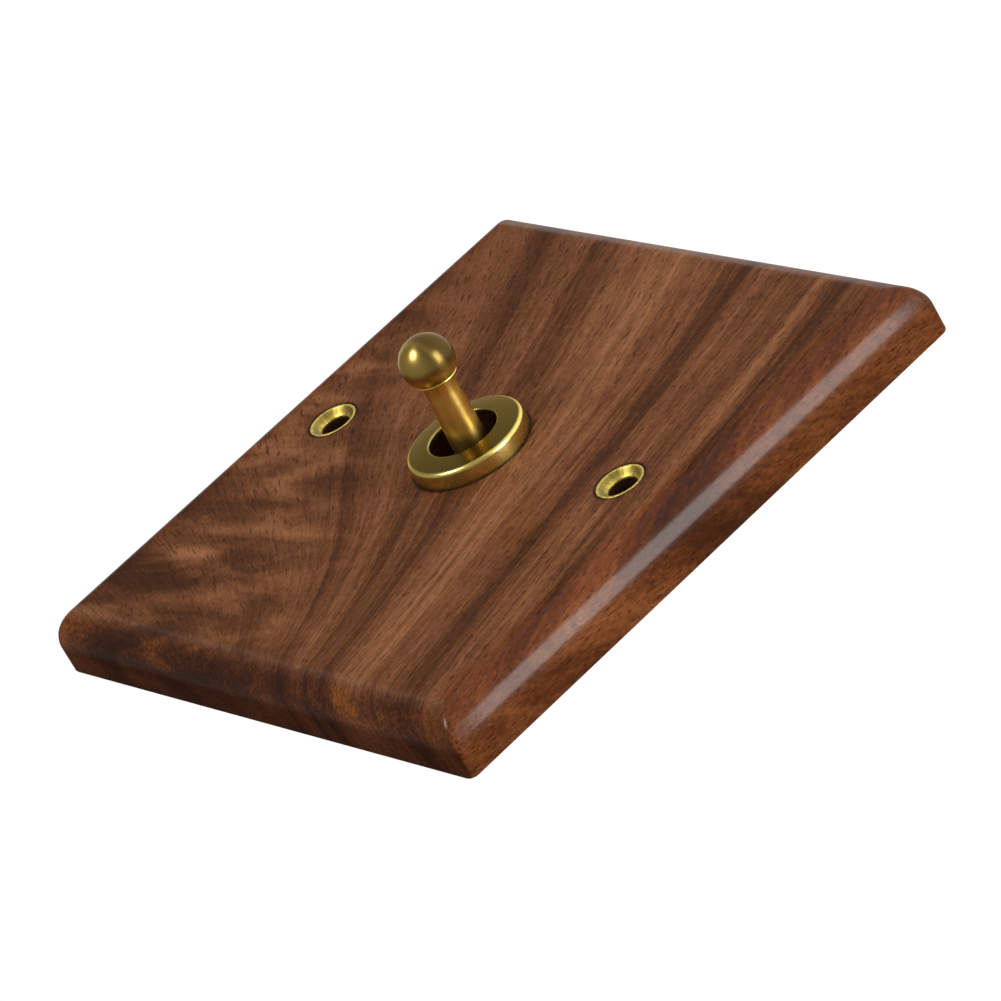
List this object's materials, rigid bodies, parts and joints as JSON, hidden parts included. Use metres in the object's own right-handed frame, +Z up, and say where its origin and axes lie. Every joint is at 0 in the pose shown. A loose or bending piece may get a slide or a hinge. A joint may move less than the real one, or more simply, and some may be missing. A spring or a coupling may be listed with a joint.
{
  "type": "toggle light switch",
  "caption": "Square wooden wall plate with a ball-ended brass toggle lever in a round ring, screw cups on its centre line and a rocker contact block behind.",
  "frame": {"origin": "centre of the plate's back face, midway between the two screw holes, on the wall plane", "axes": "+Z up, face and lever towards -Y, wall and contact block towards +Y, screws side by side along X"},
  "size_m": [0.086, 0.0453, 0.086],
  "materials": {
    "walnut": "satin",
    "cup_brass": "satin",
    "ring_brass": "satin",
    "lever_brass": "satin",
    "inner_brass": "satin",
    "plated_steel": "satin",
    "spring_steel": "satin",
    "base_black": "matte",
    "sheet_fibre": "matte",
    "plunger_white": "matte",
    "contact_silver": "satin"
  },
  "bodies": {
    "housing": {"wood_plate": "walnut", "screw_cup_left": "cup_brass", "screw_cup_right": "cup_brass", "ring_nut": "ring_brass", "bushing": "inner_brass", "spread_washer": "plated_steel", "lock_washer": "plated_steel", "back_nut": "plated_steel", "pivot_pin": "plated_steel", "insulating_sheet": "sheet_fibre", "switch_base": "base_black", "switch_frame": "plated_steel", "common_terminal": "inner_brass", "upper_terminal": "inner_brass", "lower_terminal": "inner_brass", "fixed_contact_upper": "contact_silver", "fixed_contact_lower": "contact_silver", "terminal_screw_common": "plated_steel", "terminal_screw_upper": "plated_steel", "terminal_screw_lower": "plated_steel", "wire_clamp_common": "plated_steel", "wire_clamp_upper": "plated_steel", "wire_clamp_lower": "plated_steel"},
    "lever": {"toggle_lever": "lever_brass", "plunger_spring": "spring_steel"},
    "plunger": {"plunger": "plunger_white"},
    "rocker": {"contact_rocker": "inner_brass", "rocker_contact_upper": "contact_silver", "rocker_contact_lower": "contact_silver"}
  },
  "joints": [
    {"name": "lever_toggle", "type": "hinge", "parent": "housing", "child": "lever", "pos_m": [0, -0.0016, 0], "axis": [1, 0, 0], "range_deg": [-14, 10]},
    {"name": "plunger_press", "type": "slide", "parent": "lever", "child": "plunger", "axis": [0, -0.9994, -0.0349], "range_m": [0, 0.0005], "stiffness_N_per_m": 300, "springref_m": -0.001},
    {"name": "rocker_rock", "type": "hinge", "parent": "housing", "child": "rocker", "pos_m": [0, 0.0108, 0], "axis": [1, 0, 0], "range_deg": [-6.69, 9.35]}
  ],
  "couplings": [
    {"joint": "rocker_rock", "follows": "lever_toggle", "ratio": -0.66667}
  ]
}
